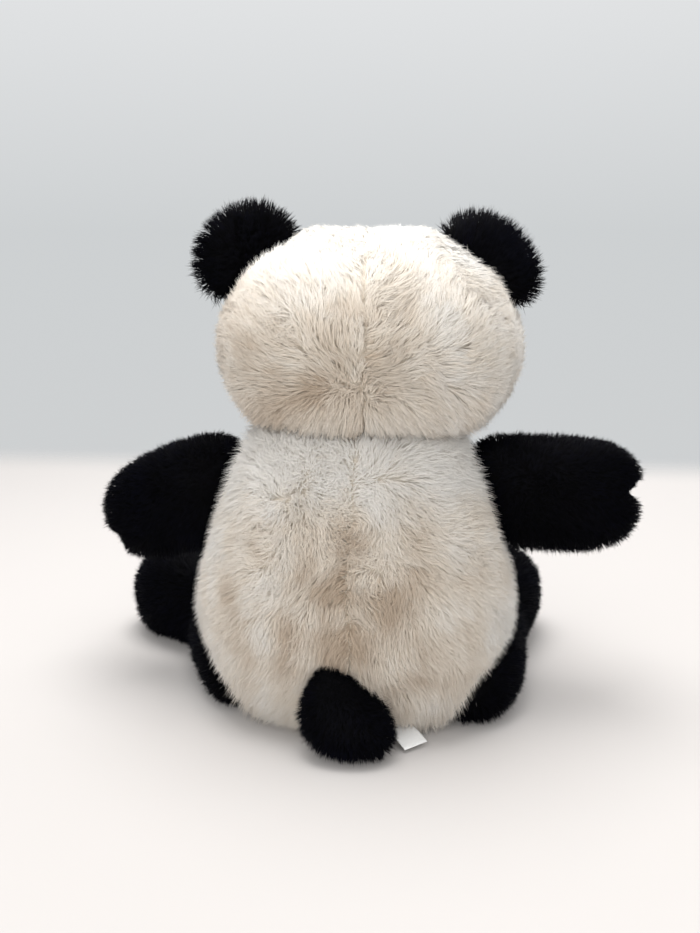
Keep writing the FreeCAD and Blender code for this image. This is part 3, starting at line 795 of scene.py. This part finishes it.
def ear(name):
    """One ear, on its seam on the head."""
    form = Form("ear_" + name, ["ear_back_" + name, "ear_front_" + name], [], voxel=2.0 * MM, cap=1.5 * MM,
                inset=0.3 * MM, lumps=0.4 * MM, valley=0.3 * MM, seed=13)
    base = Vector(JOINTS["ear_flex_" + name]["pos_m"])
    low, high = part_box("ear_back_" + name)
    out = ((low + high) / 2 - base).normalized()
    kind = dict(BLACK_PILE, length=9.3 * MM, turn=0.4, gather=0.58)
    dress(form, kind, BLACK_PLUSH, "ear_" + name, outward(base, 0.2), 300 + 50 * side_sign(name),
          ("head", "ear_" + name, base - out * 0.004, base + out * 0.008))


def arm(name):
    """One arm, from the shoulder, with the notch in its paw."""
    form = Form("arm_" + name, ["arm_back_" + name, "arm_front_" + name], ["arm_filling_" + name],
                voxel=2.6 * MM, cap=2.5 * MM, inset=0.8 * MM, lumps=0.7 * MM, valley=0.5 * MM, seed=14)
    base = Vector(JOINTS["arm_swing_" + name]["pos_m"])
    low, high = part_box("arm_filling_" + name)
    out = ((low + high) / 2 - base).normalized()
    run = outward(base, -0.1)
    notch, notch_reach, seam_reach = np.array(NOTCH[name]), 8 * MM, 9 * MM
    across = unit(np.array([[base.y - notch[1], notch[0] - base.x, 0.0]]))[0]

    def from_notch(p):
        """The way from the notch, which runs through the whole thickness of the paw."""
        d = p - notch
        return d - np.outer(d @ across, across)

    def comb(p):
        """Out along the arm, away from the notch beside it, and over the shoulder seam."""
        d = from_notch(p)
        near = np.exp(-np.sum(d ** 2, axis=1) / notch_reach ** 2)
        seam = np.exp(-(((p - np.array(base)) @ np.array(out)) / seam_reach) ** 2)
        return run(p) + 1.5 * near[:, None] * unit(d) - 1.8 * seam[:, None] * np.array(out)

    def shorten(p):
        """Short pile in the notch."""
        return np.clip(np.linalg.norm(from_notch(p), axis=1) / notch_reach, 0.25, 1.0)

    dress(form, BLACK_PILE, BLACK_PLUSH, "arm_" + name, comb, 400 + 50 * side_sign(name),
          ("torso", "arm_" + name, base - out * 0.004, base + out * 0.014), shorten=shorten)


def leg(name):
    """One leg and foot, down from the hip."""
    form = Form("leg_" + name, ["leg_outer_" + name, "leg_inner_" + name, "foot_sole_" + name],
                ["leg_filling_" + name], voxel=3.0 * MM, cap=2.5 * MM, inset=0.8 * MM, lumps=0.8 * MM,
                valley=0.5 * MM, seed=15)
    base = Vector(JOINTS["leg_lift_" + name]["pos_m"])
    low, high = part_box("foot_sole_" + name)
    out = (low + high) / 2 - base
    out.z = 0
    out.normalize()
    kind = dict(BLACK_PILE, length=7.4 * MM, lean=22, turn=0.42, gather=0.58)
    dress(form, kind, BLACK_PLUSH, "leg_" + name, outward(base, 0.1), 500 + 50 * side_sign(name),
          ("torso", "leg_" + name, base - out * 0.02, base + out * 0.03))


def tail():
    """The tail, hanging from its seam on the back."""
    form = Form("tail", ["tail_outer", "tail_inner"], ["tail_filling"], voxel=2.5 * MM, cap=2 * MM,
                inset=0.5 * MM, lumps=0.5 * MM, valley=0.3 * MM, seed=16)
    base = Vector(JOINTS["tail_lift"]["pos_m"])
    dress(form, BLACK_PILE, BLACK_PLUSH, "tail", outward(base, -0.3), 600,
          ("torso", "tail", base + Vector((0, 0, 0.004)), base - Vector((0, 0, 0.010))),
          shorten=lambda p: 1 - 0.5 * above(p[:, 2] - base.z, -0.018, 0.012))


def face():
    """Muzzle with short pile, and short black pile on the eye patches."""
    form = Form("muzzle", ["muzzle"], [], voxel=2.5 * MM, cap=1.5 * MM, inset=0.4 * MM, lumps=0.3 * MM,
                valley=0, seed=17)
    low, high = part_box("muzzle")
    middle = (low + high) / 2
    kind = dict(CREAM_PILE, length=4.5 * MM, lean=45)
    away = clear_of([(["nose"], 0.8 * MM, 4 * MM), (["mouth_stitch"], 0.8 * MM, 4 * MM)])
    dress(form, kind, CREAM_PLUSH, "head", outward((middle.x, middle.y - 0.01, middle.z + 0.008)), 700,
          shorten=away, tone=lambda p: np.full(len(p), 0.75))
    low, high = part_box("head_filling")
    centre = (low + high) / 2
    for name in ("left", "right"):
        patch = "eye_patch_" + name
        eye_low, eye_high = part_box("eye_" + name)
        kind = dict(BLACK_PILE, length=3.2 * MM, lean=35)
        eye = (eye_low + eye_high) / 2
        away = clear_of([(["eye_" + name], 0.6 * MM, 3 * MM)])
        hair = pile(outer_patch(patch, centre), patch, kind, BLACK, outward(eye), 720 + side_sign(name),
                    shorten=away)
        for ob in hair:
            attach(ob, "head")


def label():
    """The blank satin care label that hangs from the seat seam beside the tail."""
    wide, long, thickness = 13 * MM, 18 * MM, 0.35 * MM
    cells_x, cells_y = 26, 36
    dip, turn = math.radians(-12), math.radians(38)
    curl_along, curl_across, hem_step = 0.9 * MM, 0.35 * MM, 0.12 * MM
    co = []
    for j in range(cells_y + 1):
        for i in range(cells_x + 1):
            x = wide * (i / cells_x - 0.5)
            y = long * j / cells_y
            curl = curl_along * math.sin(math.pi * j / cells_y) + curl_across * math.cos(3.2 * i / cells_x)
            hem = hem_step if j in (cells_y - 2, cells_y - 3) else 0.0
            z = curl + hem
            y, z = y * math.cos(dip) - z * math.sin(dip), y * math.sin(dip) + z * math.cos(dip)
            x, y = x * math.cos(turn) - y * math.sin(turn), x * math.sin(turn) + y * math.cos(turn)
            co.append((x + LABEL_TOP[0], y + LABEL_TOP[1], z + LABEL_TOP[2]))
    row = cells_x + 1
    quads = [(j * row + i, j * row + i + 1, (j + 1) * row + i + 1, (j + 1) * row + i)
             for j in range(cells_y) for i in range(cells_x)]
    ob = add("care_label_cloth", mesh_from("care_label_flat", np.array(co), np.array(quads)), SATIN)
    m = ob.modifiers.new("thickness", "SOLIDIFY")
    m.thickness = thickness
    m.offset = 0
    mesh = evaluated(ob, "care_label_cloth")
    ob = add("care_label_ribbon", mesh, SATIN)
    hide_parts("care_label")
    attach(ob, "torso")


def studio():
    """A pale floor that fades out in front of the panda and far away; the surround is plain grey."""
    wide = 2.4
    front_end, front_full = -0.60, -0.47        # Y where the floor is gone, and where it is whole again
    round_end, round_full = 2.2, 0.9            # the same as distances from the panda
    co = [(-wide, -wide, 0), (wide, -wide, 0), (wide, wide, 0), (-wide, wide, 0)]
    ground = add("studio_floor", mesh_from("studio_floor", np.array(co), np.array([(0, 1, 2, 3)])))
    m, tree, p = principled("studio_paper", (0.585, 0.562, 0.548), 1.0, Specular_IOR_Level=0.0)
    coords = tree.nodes.new("ShaderNodeTexCoord")
    split = tree.nodes.new("ShaderNodeSeparateXYZ")
    tree.links.new(coords.outputs["Object"], split.inputs[0])
    far = tree.nodes.new("ShaderNodeMapRange")
    far.interpolation_type = "SMOOTHSTEP"
    far.inputs["From Min"].default_value = front_end
    far.inputs["From Max"].default_value = front_full
    tree.links.new(split.outputs[1], far.inputs["Value"])
    length = tree.nodes.new("ShaderNodeVectorMath")
    length.operation = "LENGTH"
    tree.links.new(coords.outputs["Object"], length.inputs[0])
    edge = tree.nodes.new("ShaderNodeMapRange")
    edge.interpolation_type = "SMOOTHSTEP"
    edge.inputs["From Min"].default_value = round_end
    edge.inputs["From Max"].default_value = round_full
    tree.links.new(length.outputs["Value"], edge.inputs["Value"])
    both = tree.nodes.new("ShaderNodeMath")
    both.operation = "MULTIPLY"
    tree.links.new(far.outputs[0], both.inputs[0])
    tree.links.new(edge.outputs[0], both.inputs[1])
    tree.links.new(both.outputs[0], p.inputs["Alpha"])
    ground.data.materials.append(m)


def lights():
    """A grey sky that brightens upwards, and three soft lights: name, place, aim, size, watts, colour."""
    world = bpy.data.worlds.new("studio")
    bpy.context.scene.world = world
    world.use_nodes = True
    tree = world.node_tree
    coords = tree.nodes.new("ShaderNodeTexCoord")
    split = tree.nodes.new("ShaderNodeSeparateXYZ")
    tree.links.new(coords.outputs["Generated"], split.inputs[0])
    height = tree.nodes.new("ShaderNodeMapRange")
    height.inputs["From Min"].default_value = -1
    height.inputs["From Max"].default_value = 1
    tree.links.new(split.outputs[2], height.inputs["Value"])
    sky = ramp(tree, [(0.0, (0.62, 0.62, 0.62)), (0.5, (0.615, 0.635, 0.645)), (0.62, (0.78, 0.79, 0.80)),
                      (1.0, (0.95, 0.95, 0.95))])
    tree.links.new(height.outputs[0], sky.inputs[0])
    tree.links.new(sky.outputs[0], tree.nodes["Background"].inputs[0])
    for name, place, aim, size, power, color in (
        ("top_light", (0.05, -0.05, 1.0), (0, 0, 0.15), 0.6, 8.2, (1.0, 0.99, 0.98)),
        ("back_fill", (0.08, 1.2, 0.6), (0, 0, 0.1), 1.0, 5.2, (1.0, 0.985, 0.96)),
        ("face_fill", (-0.4, -0.9, 0.6), (0, 0, 0.1), 0.6, 2, (1.0, 0.99, 0.98)),
    ):
        data = bpy.data.lights.new(name, "AREA")
        data.size = size
        data.energy = power
        data.color = color
        ob = bpy.data.objects.new(name, data)
        bpy.context.scene.collection.objects.link(ob)
        ob.location = place
        ob.rotation_euler = (Vector(aim) - Vector(place)).to_track_quat("-Z", "Y").to_euler()


def camera():
    """Behind the panda, a little above it and slightly to its right."""
    azimuth, elevation, distance = math.radians(185), math.radians(13), 0.52
    target = Vector((0.0035, 0, 0.122))
    back = Vector((math.sin(azimuth) * math.cos(elevation), -math.cos(azimuth) * math.cos(elevation),
                   math.sin(elevation)))
    data = bpy.data.cameras.new("camera")
    data.sensor_width = 36
    data.lens = 39.4
    data.clip_start, data.clip_end = 0.01, 20
    ob = bpy.data.objects.new("camera", data)
    bpy.context.scene.collection.objects.link(ob)
    ob.location = target + back * distance
    ob.rotation_euler = (-back).to_track_quat("-Z", "Y").to_euler()
    bpy.context.scene.camera = ob


for name, node in NODES.items():
    node.data.materials.clear()
    node.data.materials.append(next(m for start, m in NODE_MATERIALS if name.startswith(start)))
torso()
collar()
head()
face()
for side in ("left", "right"):
    ear(side)
    arm(side)
    leg(side)
tail()
label()
studio()
lights()
camera()
bpy.context.scene.view_settings.view_transform = "Standard"
